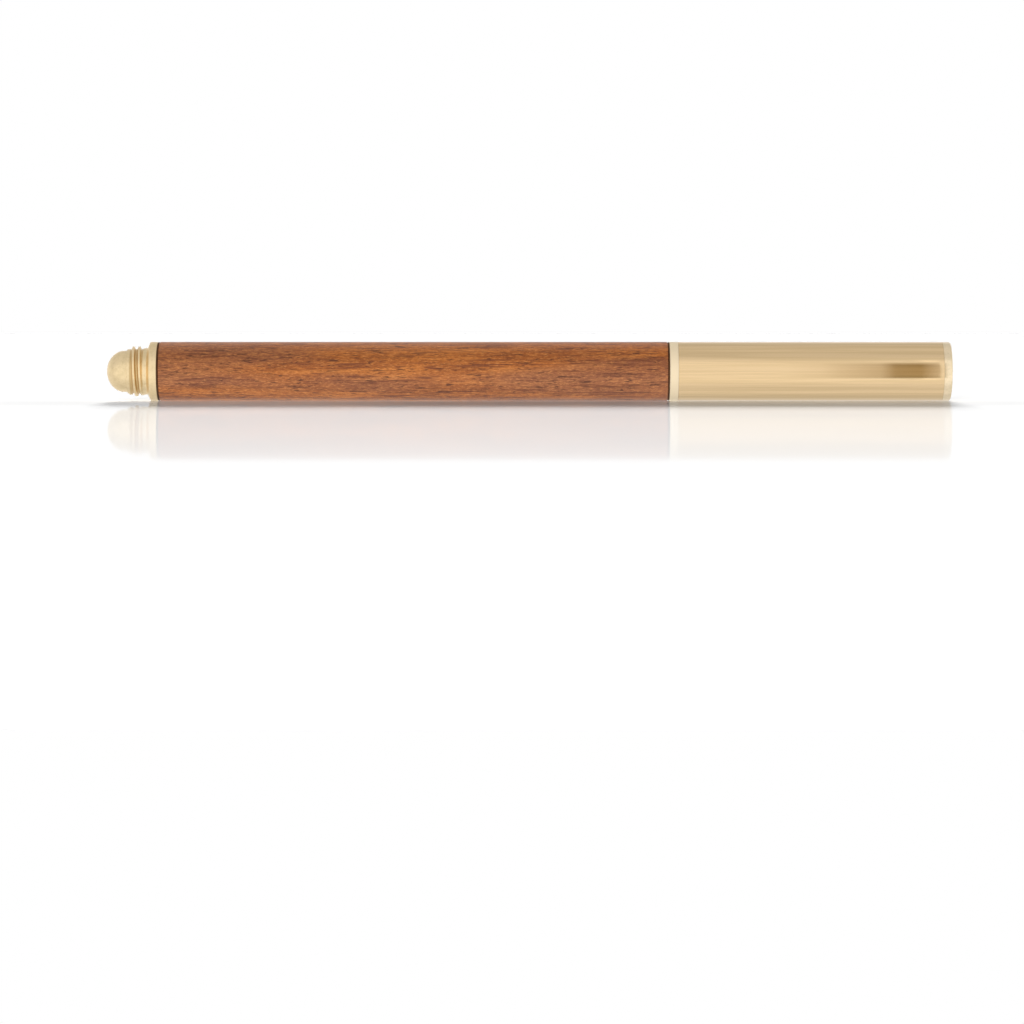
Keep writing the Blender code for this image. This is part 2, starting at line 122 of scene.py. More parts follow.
class Thread:
    """A helical ridge that rises from the outline to ridge_r, outwards on a screw, inwards in a nut."""

    fade = 0.25

    def __init__(self, start, pitch, turns, ridge_r, roll=0.0):
        self.start, self.pitch, self.turns, self.ridge_r = start, pitch, turns, ridge_r
        self.roll = roll

    def height(self, x, turn):
        """How far the ridge has risen, 0 to 1, at x and at this fraction of a turn."""
        turn = (turn - self.roll) % 1.0
        along = (x - self.start) / self.pitch - turn
        phase = along - math.floor(along)
        wound = math.floor(along) + turn
        if not 0 <= wound <= self.turns:
            return 0.0
        # A quarter of the pitch each for rise, crest, fall and root
        flank = max(0.0, min(1.0, phase * 4, 3 - phase * 4))
        rise = min(1.0, wound / self.fade, (self.turns - wound) / self.fade)
        return rise * flank * flank * (3 - 2 * flank)


def rounded(before, corner, after, size):
    """Points of a smooth curve that replaces an outline's corner."""
    here = Vector(corner)
    start, end = (Vector(p) - here for p in (before, after))
    start = here + start.normalized() * min(size, start.length * 0.49)
    end = here + end.normalized() * min(size, end.length * 0.49)
    points = []
    for i in range(ARC_STEPS + 1):
        t = i / ARC_STEPS
        points.append(start * (1 - t) ** 2 + here * 2 * t * (1 - t) + end * t**2)
    return [tuple(p) for p in points]


def rows_of(outline, closed):
    """Rows of (x, radius or function of the turn) from corners (x, r), (x, r, rounding), Threads."""
    corners = [item for item in outline if not isinstance(item, Thread)]
    rows, index = [], 0
    for item in outline:
        if isinstance(item, Thread):
            rows.append(item)
            continue
        before = corners[index - 1][:2]
        after = corners[(index + 1) % len(corners)][:2]
        index += 1
        if len(item) == 3:
            rows += rounded(before, item[:2], after, item[2])
        else:
            rows.append(item)
    fine = []
    for i, row in enumerate(rows):
        if isinstance(row, Thread):
            fine += thread_rows(row, rows[i - 1], rows[(i + 1) % len(rows)])
            continue
        fine.append(row)
        last = i + 1 == len(rows)
        if last and not closed:
            break
        after = rows[(i + 1) % len(rows)]
        if isinstance(after, Thread):
            continue
        parts = math.ceil(abs(after[0] - row[0]) / LONGEST_STEP)
        for part in range(1, parts):
            t = part / parts
            fine.append((row[0] + (after[0] - row[0]) * t, row[1] + (after[1] - row[1]) * t))
    return fine


def thread_rows(thread, low, high):
    """Rows between two others, whose radius varies with the turn, for the ridge that winds there."""
    count = round(abs(high[0] - low[0]) / thread.pitch * ROWS_PER_PITCH)
    rows = []
    for i in range(1, count):
        x = low[0] + (high[0] - low[0]) * i / count
        base_r = low[1] + (high[1] - low[1]) * i / count

        def radius(turn, x=x, base_r=base_r):
            return base_r + (thread.ridge_r - base_r) * thread.height(x, turn)

        rows.append((x, radius))
    return rows


def add_piece(node, mesh, look):
    mesh.materials.append(look)
    mesh.shade_smooth()
    piece = bpy.data.objects.new(node + "_fine", mesh)
    bpy.context.scene.collection.objects.link(piece)
    return piece


def turned(node, body, look, outline, around=AROUND):
    """A smooth turned piece that replaces a CAD node. Its origin is on the pen's axis."""
    closed = outline[0][1] > 0
    rows = rows_of(outline, closed)
    points, rings = [], []
    for x, r in rows:
        first = len(points)
        if not callable(r) and r == 0:
            points.append((x, 0, 0))
            rings.append([first] * around)
            continue
        for i in range(around):
            angle = 2 * math.pi * i / around
            here_r = r(i / around) if callable(r) else r
            points.append((x, here_r * math.cos(angle), here_r * math.sin(angle)))
        rings.append(list(range(first, first + around)))
    faces = []
    pairs = list(zip(rings, rings[1:]))
    if closed:
        pairs.append((rings[-1], rings[0]))
    for low, high in pairs:
        for i in range(around):
            j = (i + 1) % around
            corners = dict.fromkeys((low[i], high[i], high[j], low[j]))
            faces.append(tuple(corners))
    mesh = bpy.data.meshes.new(node + "_fine")
    mesh.from_pydata(points, [], faces)
    mesh.validate()
    piece = add_piece(node, mesh, look)
    piece.location = (0, 0, AXIS_Z)
    normals = piece.modifiers.new("even_normals", "WEIGHTED_NORMAL")
    normals.keep_sharp = True
    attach(piece, body)
    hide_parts(node)


# Materials


class Nodes:
    """Short calls that add nodes to a tree."""

    def __init__(self, tree):
        self.tree = tree

    def node(self, kind, inputs=None, **settings):
        made = self.tree.nodes.new("ShaderNode" + kind)
        for key, value in settings.items():
            setattr(made, key, value)
        for key, value in (inputs or {}).items():
            self.feed(made.inputs[key], value)
        return made

    def feed(self, socket, value):
        if isinstance(value, bpy.types.NodeSocket):
            self.tree.links.new(value, socket)
        else:
            socket.default_value = value

    def math(self, operation, a, b=0.0):
        return self.node("Math", {0: a, 1: b}, operation=operation).outputs[0]

    def spread(self, value, low, high, to_low=0.0, to_high=1.0):
        """Turn low to high into to_low to to_high, with soft ends."""
        inputs = {"Value": value, "From Min": low, "From Max": high}
        inputs.update({"To Min": to_low, "To Max": to_high})
        return self.node("MapRange", inputs, interpolation_type="SMOOTHSTEP").outputs[0]

    def part_way(self, value, low, high):
        """Turn low to high into 0 to 1, evenly."""
        return self.node("MapRange", {"Value": value, "From Min": low, "From Max": high}).outputs[0]

    def choose(self, factor, a, b):
        """A number: a where the factor is 0, b where it is 1."""
        return self.node("Mix", {0: factor, 2: a, 3: b}, data_type="FLOAT").outputs[0]

    def mix(self, factor, a, b):
        """A colour: a where the factor is 0, b where it is 1."""
        a, b = ((*part, 1.0) if isinstance(part, tuple) else part for part in (a, b))
        return self.node("Mix", {0: factor, 6: a, 7: b}, data_type="RGBA").outputs[2]

    def ramp(self, value, *stops):
        made = self.node("ValToRGB", {"Fac": value})
        elements = made.color_ramp.elements
        while len(elements) < len(stops):
            elements.new(0.5)
        for element, (at, colour) in zip(elements, stops):
            element.position = at
            element.color = (*colour, 1.0)
        return made.outputs["Color"]

    def levels(self, value, *stops):
        """A ramp of greys."""
        return self.ramp(value, *((at, (level, level, level)) for at, level in stops))


class Look(Nodes):
    """A material. Its textures use the piece's own axes, in mm."""

    def __init__(self, name):
        self.material = bpy.data.materials.new(name)
        self.material.use_nodes = True
        super().__init__(self.material.node_tree)
        self.shader = self.tree.nodes["Principled BSDF"]
        self.place = self.node("TexCoord").outputs["Object"]

    def set(self, **values):
        for key, value in values.items():
            self.feed(self.shader.inputs[key.replace("_", " ").title()], value)

    def surface(self, result):
        """Use another shader than the Principled one."""
        self.feed(self.tree.nodes["Material Output"].inputs["Surface"], result)
        self.tree.nodes.remove(self.shader)

    def axes(self):
        return self.node("SeparateXYZ", {0: self.place}).outputs

    def stretched(self, per_mm, seed=0.0, tilt=0.0):
        """Coordinates scaled to so many texture units a millimetre along X, Y and Z."""
        scale = [part / MM for part in per_mm]
        inputs = {"Vector": self.place, "Scale": scale, "Location": (seed, seed, seed)}
        inputs["Rotation"] = (0, 0, tilt)
        return self.node("Mapping", inputs).outputs["Vector"]

    def noise(self, where, detail=2.0, roughness=0.5, distortion=0.0):
        inputs = {"Vector": where, "Scale": 1.0, "Detail": detail}
        inputs.update({"Roughness": roughness, "Distortion": distortion})
        return self.node("TexNoise", inputs).outputs["Fac"]

    def within(self, x, low, high):
        """1 between two places along X, 0 outside them."""
        soft = 0.25 * MM
        rise = self.spread(x, low, low + soft)
        return self.math("MULTIPLY", rise, self.spread(x, high - soft, high, 1.0, 0.0))

    def groove(self, low, high):
        """1 at the bottom of the outside thread between two places along X, 0 on its crests."""
        # Painted shade reaches from the bottom of the groove up to the second radius.
        bottom_r, unshaded_r = THREAD_ROOT_R + 0.05 * MM, THREAD_ROOT_R + 0.30 * MM
        axes = self.axes()
        flat = self.node("CombineXYZ", {"Y": axes["Y"], "Z": axes["Z"]}).outputs[0]
        radius = self.node("VectorMath", {0: flat}, operation="LENGTH").outputs["Value"]
        deep = self.spread(radius, bottom_r, unshaded_r, 1.0, 0.0)
        return self.math("MULTIPLY", deep, self.within(axes["X"], low, high))

    def bump(self, height, depth, strength):
        inputs = {"Height": height, "Distance": depth, "Strength": strength}
        return self.node("Bump", inputs).outputs["Normal"]


# Colours of the brasses, each as its finish shows it, a darker brass for painted shade in thread
# grooves, and of ground steel
TAIL_BRASS = (0.980, 0.775, 0.470)
RING_BRASS = (1.000, 0.865, 0.640)
PLUG_BRASS = (1.000, 0.820, 0.560)
GRIP_BRASS = (1.000, 0.835, 0.570)
CAP_BRASS = (0.900, 0.660, 0.380)
INNER_BRASS = (0.740, 0.540, 0.280)
# Painted shade: the bottoms of thread grooves are turned part way to this darker brass.
GROOVE_SHADE_BRASS = (0.560, 0.340, 0.110)
GROOVE_SHADE = 0.65  # how far the bottom of a groove turns to GROOVE_SHADE_BRASS
GROUND_STEEL = (0.970, 0.950, 0.930)


def hardwood():
    """Open-pored red-brown hardwood under satin oil, with its grain along the pen."""
    look = Look("hardwood_grain")
    drift = look.noise(look.stretched((0.016, 0.12, 0.12), seed=3.1), detail=2.0)
    bands = look.noise(look.stretched((0.05, 0.60, 0.60), seed=1.4, tilt=0.02), 3.0, 0.55, 0.8)
    streaks = look.noise(look.stretched((0.09, 1.7, 1.7), seed=5.2, tilt=0.02), 3.0, 0.6, 1.0)
    dashes = look.noise(look.stretched((0.34, 3.4, 3.4), seed=6.3), 3.0, 0.6, 1.4)
    fibres = look.noise(look.stretched((1.3, 6.5, 6.5), seed=2.6), 3.0, 0.7, 0.6)
    mottle = look.noise(look.stretched((1.0, 2.4, 2.4), seed=9.9), 3.0, 0.65)
    base = look.ramp(
        look.math("ADD", look.math("MULTIPLY", bands, 0.65), look.math("MULTIPLY", mottle, 0.35)),
        (0.36, (0.265, 0.068, 0.010)),
        (0.45, (0.385, 0.108, 0.017)),
        (0.54, (0.490, 0.150, 0.025)),
        (0.64, (0.610, 0.206, 0.040)),
    )
    purple = look.mix(look.spread(drift, 0.50, 0.64, 0.0, 0.55), base, (0.205, 0.076, 0.042))
    lit = look.mix(look.spread(fibres, 0.50, 0.64, 0.0, 0.55), purple, (0.700, 0.275, 0.075))
    speck = look.mix(look.spread(fibres, 0.36, 0.49, 0.52, 0.0), lit, (0.185, 0.052, 0.016))
    dark = look.mix(look.spread(streaks, 0.53, 0.64, 0.0, 0.70), speck, (0.150, 0.036, 0.011))
    pore = look.spread(dashes, 0.55, 0.64)
    look.set(
        base_color=look.mix(look.math("MULTIPLY", pore, 0.80), dark, (0.075, 0.019, 0.005)),
        roughness=look.spread(fibres, 0.3, 0.7, 0.38, 0.50),
    )
    height = look.math("SUBTRACT", look.math("MULTIPLY", fibres, 0.3), pore)
    look.set(normal=look.bump(height, 0.02 * MM, 0.5))
    look.shader.inputs["Specular IOR Level"].default_value = 0.3
    look.set(coat_weight=0.30, coat_roughness=0.3)
    return look.material


def brass(name, colour, roughness, marks, streaks=0.0, patina=0.0, thread=None):
    """Brass with tool marks round the axis (marks), draw marks along it (streaks), and patina.

    thread gives the ends of an outside thread, whose grooves are darkened with painted shade.
    """
    look = Look(name)
    cloud = look.noise(look.stretched((0.5, 0.6, 0.6), seed=4.0), 4.0, 0.65)
    fine = look.noise(look.stretched((2.6, 2.6, 2.6), seed=7.0), 3.0, 0.7)
    x_only = look.noise(look.stretched((14.0, 0.05, 0.05)), 2.0, 0.8)
    lengthwise = look.noise(look.stretched((0.03, 2.0, 2.0), seed=2.0), 3.0, 0.6, 0.3)
    cut = look.spread(x_only, 0.3, 0.7, -0.5, 0.5)
    drawn = look.spread(lengthwise, 0.3, 0.7, -0.5, 0.5)
    shade = tuple(part * scale for part, scale in zip(colour, (0.80, 0.79, 0.72)))
    tinted = look.mix(look.spread(lengthwise, 0.62, 0.38, 0.0, 0.45 * streaks), colour, shade)
    if patina:
        tinted = look.mix(look.spread(cloud, 0.42, 0.66, 0.0, patina), tinted, shade)
        tinted = look.mix(look.spread(fine, 0.50, 0.70, 0.0, patina), tinted, shade)
    if thread:
        # Painted shade in the grooves of the thread.
        painted_groove_shade = look.math("MULTIPLY", look.groove(*thread), GROOVE_SHADE)
        tinted = look.mix(painted_groove_shade, tinted, GROOVE_SHADE_BRASS)
    varied = look.math("MULTIPLY", look.spread(fine, 0.3, 0.7), 0.05)
    look.set(base_color=tinted, metallic=1.0, roughness=look.math("ADD", roughness, varied))
    rings = look.math("MULTIPLY", cut, marks)
    height = look.math("ADD", rings, look.math("MULTIPLY", drawn, streaks))
    look.set(normal=look.bump(height, 0.004 * MM, 0.6))
    return look.material


def steel(name, colour, roughness, streaks, bright_from=None):
    """Steel with draw marks. From bright_from on, along X, it is ground to a brighter finish."""
    look = Look(name)
    lengthwise = look.noise(look.stretched((0.25, 8.0, 8.0), seed=1.0), 3.0, 0.7)
    around = look.noise(look.stretched((16.0, 0.1, 0.1), seed=3.0), 2.0, 0.7)
    worn = look.noise(look.stretched((0.8, 0.8, 0.8)), 4.0, 0.6)
    dark = tuple(part * 0.7 for part in colour)
    base = look.mix(look.spread(lengthwise, 0.35, 0.7, 0.0, streaks), colour, dark)
    if bright_from:
        soft = 0.04 * MM
        ground = look.spread(look.axes()["X"], bright_from - soft, bright_from + soft)
        base = look.mix(ground, base, GROUND_STEEL)
    look.set(
        base_color=base,
        metallic=1.0,
        roughness=look.spread(worn, 0.3, 0.7, roughness - 0.04, roughness + 0.06),
    )
    look.set(normal=look.bump(look.math("ADD", lengthwise, around), 0.002 * MM, 0.5))
    return look.material


def plastic(name, colour, roughness):
    look = Look(name)
    grain = look.noise(look.stretched((6.0, 6.0, 6.0)), 3.0, 0.6)
    cloud = look.noise(look.stretched((0.4, 0.4, 0.4), seed=5.0), 3.0)
    pale = tuple(min(1.0, part * 1.25 + 0.004) for part in colour)
    look.set(
        base_color=look.mix(look.spread(cloud, 0.35, 0.7, 0.0, 0.6), colour, pale),
        roughness=look.spread(grain, 0.3, 0.7, roughness - 0.06, roughness + 0.06),
        normal=look.bump(grain, 0.006 * MM, 0.5),
    )
    return look.material


def fibre(name, colour):
    look = Look(name)
    strands = look.noise(look.stretched((0.6, 14.0, 14.0)), 4.0, 0.7, 0.5)
    pale = tuple(part * 2.2 for part in colour)
    look.set(
        base_color=look.mix(look.spread(strands, 0.35, 0.7), colour, pale),
        roughness=0.9,
        normal=look.bump(strands, 0.03 * MM, 0.8),
    )
    return look.material


# Pieces


def wood_sleeve(look):
    bore_r = 4.05 * MM
    turned("wood_sleeve", "barrel", look, [
        (WOOD_LOW.x, bore_r, SHARP),
        (WOOD_LOW.x, BARREL_R, SOFT),
        (WOOD_HIGH.x, BARREL_R, SOFT),
        (WOOD_HIGH.x, bore_r, SHARP),
    ], around=AROUND_OUTSIDE)


def barrel_tube(look):
    tube_r, bore_r, thread_r, ridge_r = 4.0 * MM, 3.36 * MM, 3.63 * MM, 3.37 * MM
    relief_x = SECTION_THREAD_X - 0.65 * MM
    turned("barrel_tube", "barrel", look, [
        (WOOD_LOW.x, bore_r, BROKEN),
        (WOOD_LOW.x, tube_r, BROKEN),
        (WOOD_HIGH.x, tube_r, BROKEN),
        (WOOD_HIGH.x, thread_r, SHARP),
        Thread(SECTION_THREAD_X - SECTION_PITCH / 2, SECTION_PITCH, 3.6, ridge_r),
        (relief_x, thread_r, SHARP),
        (relief_x, bore_r, SHARP),
    ])


def washer(node, body, look):
    outer_r, bore_r = 4.95 * MM, 3.7 * MM
    low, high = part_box(node)
    turned(node, body, look, [
        (low.x, bore_r, SHARP),
        (low.x, outer_r, EASED),
        (high.x, outer_r, EASED),
        (high.x, bore_r, SHARP),
    ])


def tail_finial(look):
    """Dome, thread that runs out up a small step onto the neck, taper, ring, and spigot."""
    dome_length, dome_r, dome_steps = 2.95 * MM, 3.5 * MM, 28
    dome = []
    for i in range(dome_steps):
        turn = math.pi / 2 * i / dome_steps
        x = TAIL_LOW.x + dome_length * (1 - math.cos(turn))
        dome.append((x, dome_r * math.sin(turn)))
    dome_end_x = TAIL_LOW.x + dome_length
    root_x = TAIL_LOW.x + 3.52 * MM
    winding = (root_x + 0.05 * MM, CAP_PITCH, 2.25, THREAD_CREST_R, TAIL_ROLL)
    neck_x, neck_r = TAIL_LOW.x + 6.15 * MM, 3.95 * MM
    thread_end_x = TAIL_LOW.x + 6.85 * MM
    taper_x, ring_x = TAIL_LOW.x + 6.98 * MM, TAIL_LOW.x + 7.45 * MM
    bore_x, bore_r = TAIL_LOW.x + 8.1 * MM, 2.7 * MM
    turned("tail_finial", "barrel", look, [
        *dome,
        (dome_end_x, dome_r),
        (root_x, dome_r, 0.02 * MM),
        (root_x + 0.04 * MM, THREAD_ROOT_R),
        Thread(*winding),
        (neck_x, THREAD_ROOT_R),
        Thread(*winding),
        (neck_x + 0.15 * MM, neck_r),
        Thread(*winding),
        (thread_end_x, neck_r),
        (taper_x, neck_r, BROKEN),
        (ring_x, BARREL_R, ROUND),
        (TAIL_FACE_X, BARREL_R, EASED),
        (TAIL_FACE_X, SPIGOT_R, SHARP),
        (TAIL_HIGH.x, SPIGOT_R, SOFT),
        (TAIL_HIGH.x, bore_r, EASED),
        (bore_x, bore_r, BROKEN),
        (bore_x, 0),
    ])


def front_collar(look):
    """Threaded spigot, ring, neck, cap thread, and the nose that the grip sits on."""
    section_turns, section_crest_r = 3.2, 3.55 * MM
    section_end_x = SECTION_THREAD_X + (section_turns + 1) * SECTION_PITCH + 0.05 * MM
    cap_thread_x = COLLAR_X + 1.12 * MM
    neck_r, nose_r, nose_bore_r = 3.62 * MM, 3.1 * MM, 2.3 * MM
    bore_step_x = COLLAR_X + 3.4 * MM
    turned("front_collar", "front_section", look, [
        (COLLAR_LOW.x, BORE_R, SHARP),
        (COLLAR_LOW.x, SPIGOT_R, BROKEN),
        (SECTION_THREAD_X - 0.05 * MM, SPIGOT_R),
        Thread(SECTION_THREAD_X, SECTION_PITCH, section_turns, section_crest_r),
        (section_end_x, SPIGOT_R),
        (FLANGE_X, SPIGOT_R, SHARP),
        (FLANGE_X, BARREL_R, EASED),
        (COLLAR_X, BARREL_R, KEEN),
        (COLLAR_X, neck_r, ROUND),
        (cap_thread_x - 0.15 * MM, neck_r, SHARP),
        (cap_thread_x - 0.05 * MM, THREAD_ROOT_R),
        Thread(cap_thread_x, CAP_PITCH, 2.28, THREAD_CREST_R, CAP_ROLL),
        (COLLAR_FACE_X, THREAD_ROOT_R, EASED),
        (COLLAR_FACE_X, nose_r, SHARP),
        (COLLAR_HIGH.x, nose_r, ROUND),
        (COLLAR_HIGH.x, nose_bore_r, EASED),
        (bore_step_x, nose_bore_r, EASED),
        (bore_step_x, BORE_R, EASED),
    ])


def grip_cone(look):
    """A cone bowed outwards by a parabola, with a stepped bore for the refill's nose and point."""
    nose_r, bulge, bow_steps = 1.66 * MM, 0.26 * MM, 32
    nose_x = GRIP_HIGH.x - 0.5 * MM
    bow = []
    for i in range(1, bow_steps):
        t = i / bow_steps
        r = GRIP_REAR_R + (nose_r - GRIP_REAR_R) * t + 4 * bulge * t * (1 - t)
        bow.append((GRIP_LOW.x + (nose_x - GRIP_LOW.x) * t, r))
    shoulder_x, shoulder_r = nose_x + 0.3 * MM, 1.5 * MM
    hole_x, hole_r, step_r = GRIP_LOW.x + 13.9 * MM, 1.13 * MM, 1.4 * MM
    guide_x, guide_r = GRIP_LOW.x + 10.2 * MM, 2.1 * MM
    seat_x, seat_r = GRIP_LOW.x + 4.5 * MM, 3.16 * MM
    turned("grip_cone", "front_section", look, [
        (GRIP_LOW.x, GRIP_REAR_R, EASED),
        *bow,
        (nose_x, nose_r, BROKEN),
        (shoulder_x, shoulder_r, BROKEN),
        (GRIP_HIGH.x, hole_r, SHARP),
        (hole_x, hole_r, SHARP),
        (hole_x, step_r, SHARP),
        (guide_x, guide_r, BROKEN),
        (seat_x, guide_r, BROKEN),
        (seat_x, seat_r, SHARP),
        (GRIP_LOW.x, seat_r, EASED),
    ])


def refill_tube(look):
    bore_r, rolled = 2.7 * MM, 0.12 * MM
    turned("refill_tube", "refill", look, [
        (REFILL_LOW.x, bore_r, SHARP),
        (REFILL_LOW.x, REFILL_R, rolled),
        (REFILL_HIGH.x, REFILL_R, rolled),
        (REFILL_HIGH.x, bore_r, SHARP),
    ])


def refill_end_plug(look):
    vent_r = 0.4 * MM
    rim_x, rim_r = END_PLUG_LOW.x + 0.75 * MM, REFILL_R - 0.1 * MM
    turned("refill_end_plug", "refill", look, [
        (END_PLUG_LOW.x, vent_r, BROKEN),
        (END_PLUG_LOW.x, rim_r, SOFT),
        (rim_x, rim_r, SHARP),
        (rim_x, REFILL_PLUG_R, SHARP),
        (END_PLUG_HIGH.x, REFILL_PLUG_R, SOFT),
        (END_PLUG_HIGH.x, vent_r, SHARP),
    ])


def refill_nose(look):
    """Plug that fits the tube, rim, nose that tapers, and the socket that holds the point."""
    rim_x, rim_end_x, rim_r = REFILL_HIGH.x + 0.05 * MM, REFILL_HIGH.x + 0.35 * MM, 2.95 * MM
    taper_x, nose_r, end_r = NOSE_HIGH.x - 3.4 * MM, 1.9 * MM, 1.3 * MM
    socket_x, socket_r = NOSE_HIGH.x - 4.0 * MM, 0.85 * MM
    turned("refill_nose", "refill", look, [
        (NOSE_LOW.x, WICK_HOLE_R, BROKEN),
        (NOSE_LOW.x, REFILL_PLUG_R, SOFT),
        (rim_x, REFILL_PLUG_R, KEEN),
        (rim_x, rim_r, SHARP),
        (rim_end_x, rim_r, BROKEN),
        (rim_end_x, nose_r, BROKEN),
        (taper_x, nose_r, 0.3 * MM),
        (NOSE_HIGH.x, end_r, 0.12 * MM),
        (NOSE_HIGH.x, socket_r, SHARP),
        (socket_x, socket_r, SHARP),
        (socket_x, WICK_HOLE_R, SHARP),
    ])


def fibre_rod(node, look, r):
    low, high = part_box(node)
    turned(node, "refill", look, [
        (low.x, 0),
        (low.x, r, ROUND),
        (high.x, r, ROUND),
        (high.x, 0),
    ], around=AROUND_SMALL)


def tip_holder(look):
    """Shank, straight point and cone, whose lip closes a little round the ball."""
    shank_r, point_r, wick_r, ink_r = 0.8 * MM, 1.03 * MM, 0.55 * MM, 0.3 * MM
    shoulder_x, ink_end_x = BALL_END_X - 8.35 * MM, BALL_END_X - 4.8 * MM
    lip_x, lip_r, lip_hole_r = TIP_HIGH.x, BALL_R + 0.03 * MM, BALL_R - 0.015 * MM
    socket_x, socket_r = BALL_END_X - 2 * BALL_R - 0.05 * MM, BALL_R + 0.02 * MM
    turned("tip_holder", "refill", look, [
        (TIP_LOW.x, wick_r, SHARP),
        (TIP_LOW.x, shank_r, BROKEN),
        (shoulder_x, shank_r, SHARP),
        (shoulder_x, point_r, SHARP),
        (CONE_X, point_r, 0.04 * MM),
        (lip_x, lip_r, KEEN),
        (lip_x, lip_hole_r, 0.01 * MM),
        (lip_x - 0.04 * MM, socket_r),
        (socket_x, socket_r, SHARP),
        (socket_x, ink_r, SHARP),
        (ink_end_x, ink_r, SHARP),
        (ink_end_x, wick_r, SHARP),
    ], around=AROUND_POINT)


def writing_ball(look):
    steps = 32
    arc = []
    for i in range(steps + 1):
        turn = math.pi * i / steps
        r = BALL_R * math.sin(turn) if 0 < i < steps else 0
        arc.append((BALL_END_X - BALL_R - BALL_R * math.cos(turn), r))
    turned("writing_ball", "ball", look, arc, around=AROUND_SMALL)


def spring(look):
    """Round wire wound round the axis."""
    wire_r, coil_r = 0.2 * MM, 2.2 * MM
    around, per_turn, turns = 16, 48, 6
    start = SPRING_LOW.x + wire_r
    length = SPRING_HIGH.x - SPRING_LOW.x - 2 * wire_r
    count = turns * per_turn
    points, faces = [], []
    for i in range(count + 1):
        angle = 2 * math.pi * i / per_turn
        out = Vector((0, math.cos(angle), math.sin(angle)))
        middle = Vector((start + length * i / count, 0, AXIS_Z)) + coil_r * out
        for j in range(around):
            part = 2 * math.pi * j / around
            points.append(middle + wire_r * (out * math.cos(part) + Vector((math.sin(part), 0, 0))))
    for i in range(count):
        for j in range(around):
            k = (j + 1) % around
            low, high = i * around, (i + 1) * around
            faces.append((low + j, high + j, high + k, low + k))
    faces.append(tuple(range(around)))
    faces.append(tuple(reversed(range(count * around, (count + 1) * around))))
    mesh = bpy.data.meshes.new("refill_spring_fine")
    mesh.from_pydata([tuple(point) for point in points], [], faces)
    piece = add_piece("refill_spring", mesh, look)
    low, high = Vector((start, 0, AXIS_Z)), Vector((start + length, 0, AXIS_Z))
    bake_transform(piece)
    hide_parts("refill_spring")


def cap_tube(look):
    close = 0.04 * MM
    low_x, high_x = CAP_LOW.x - close, CAP_HIGH.x + close
    turned("cap_tube", "cap", look, [
        (low_x, CAP_BORE_R, SHARP),
        (low_x, BARREL_R, KEEN),
        (high_x, BARREL_R, 0.02 * MM),
        (high_x, CAP_BORE_R, KEEN),
    ], around=AROUND_OUTSIDE)


def cap_thread_insert(look):
    outer_r, thread_r, ridge_r = CAP_BORE_R - 0.05 * MM, 4.34 * MM, 3.9 * MM
    ridge_x = COLLAR_X + 0.62 * MM
    turned("cap_thread_insert", "cap", look, [
        (INSERT_LOW.x, outer_r, SHARP),
        (INSERT_HIGH.x, outer_r, SHARP),
        (INSERT_HIGH.x, thread_r, SHARP),
        Thread(ridge_x, CAP_PITCH, 3.1, ridge_r, CAP_ROLL),
        (INSERT_LOW.x, thread_r, SHARP),
    ])


def cap_end_plug(look):
    shank_r = CAP_BORE_R - 0.05 * MM
    head_x = PLUG_HIGH.x - 1.4 * MM
    turned("cap_end_plug", "cap", look, [
        (PLUG_LOW.x, 0),
        (PLUG_LOW.x, shank_r, SOFT),
        (head_x, shank_r, KEEN),
        (head_x, BARREL_R, KEEN),
        (PLUG_HIGH.x, BARREL_R, 0.35 * MM),
        (PLUG_HIGH.x, 0),
    ])


def inner_cap(look):
    """A cup with a lip that closes round the rear of the grip."""
    inner_r, outer_r, lip_r = 3.95 * MM, 4.45 * MM, GRIP_REAR_R + 0.06 * MM
    cup_x = LINER_HIGH.x - 1.0 * MM
    lip_x, flare_x = LINER_LOW.x + 0.6 * MM, LINER_LOW.x + 1.2 * MM
    turned("inner_cap", "cap_carriage", look, [
        (cup_x, 0),
        (cup_x, inner_r, 0.4 * MM),
        (flare_x, inner_r, ROUND),
        (lip_x, lip_r, BROKEN),
        (LINER_LOW.x, lip_r, BROKEN),
        (LINER_LOW.x, outer_r, SOFT),
        (LINER_HIGH.x, outer_r, SOFT),
        (LINER_HIGH.x, 0),
    ])


# Studio

CAMERA_DISTANCE = 0.68
CAMERA_ELEVATION = math.radians(2.0)
VIEW_WIDTH = 174.12 * MM
VIEW_CENTRE_X = -2.8 * MM
AIM_BELOW_AXIS = 23.96 * MM


def camera():
    data = bpy.data.cameras.new("camera")
    data.lens = data.sensor_width * CAMERA_DISTANCE / VIEW_WIDTH
    data.clip_start, data.clip_end = 0.01, 20.0
    made = bpy.data.objects.new("camera", data)
    back = Vector((0, -math.cos(CAMERA_ELEVATION), math.sin(CAMERA_ELEVATION)))
    middle = Vector((VIEW_CENTRE_X, 0, AXIS_Z))
    made.location = middle + back * CAMERA_DISTANCE
    aim = middle - Vector((0, 0, AIM_BELOW_AXIS)) - made.location
    made.rotation_euler = aim.to_track_quat("-Z", "Y").to_euler()
    bpy.context.scene.collection.objects.link(made)
    bpy.context.scene.camera = made


def flat_sheet(name, corners, look):
    mesh = bpy.data.meshes.new(name)
    mesh.from_pydata(corners, [], [(0, 1, 2, 3)])
    mesh.materials.append(look.material)
    made = bpy.data.objects.new(name, mesh)
    bpy.context.scene.collection.objects.link(made)
    return made


def painted_contact_shadow(look, axes):
    """How much darker the table's colour is in a soft band in front of the pen: a painted contact
    shadow.

    The band is darkest at the middle of the pen's length and is gone a little beyond its ends.
    """
    middle_y, core, reach = -10 * MM, 2 * MM, 13 * MM
    across = look.math("ABSOLUTE", look.math("SUBTRACT", axes["Y"], middle_y))
    along = look.math("ABSOLUTE", axes["X"])
    depth = look.math(
        "MULTIPLY",
        look.spread(along, 5 * MM, 65 * MM, 0.36, 0.10),
        look.spread(along, 76 * MM, 108 * MM, 1.0, 0.0),
    )
    return look.math("MULTIPLY", depth, look.spread(across, core, reach, 1.0, 0.0))


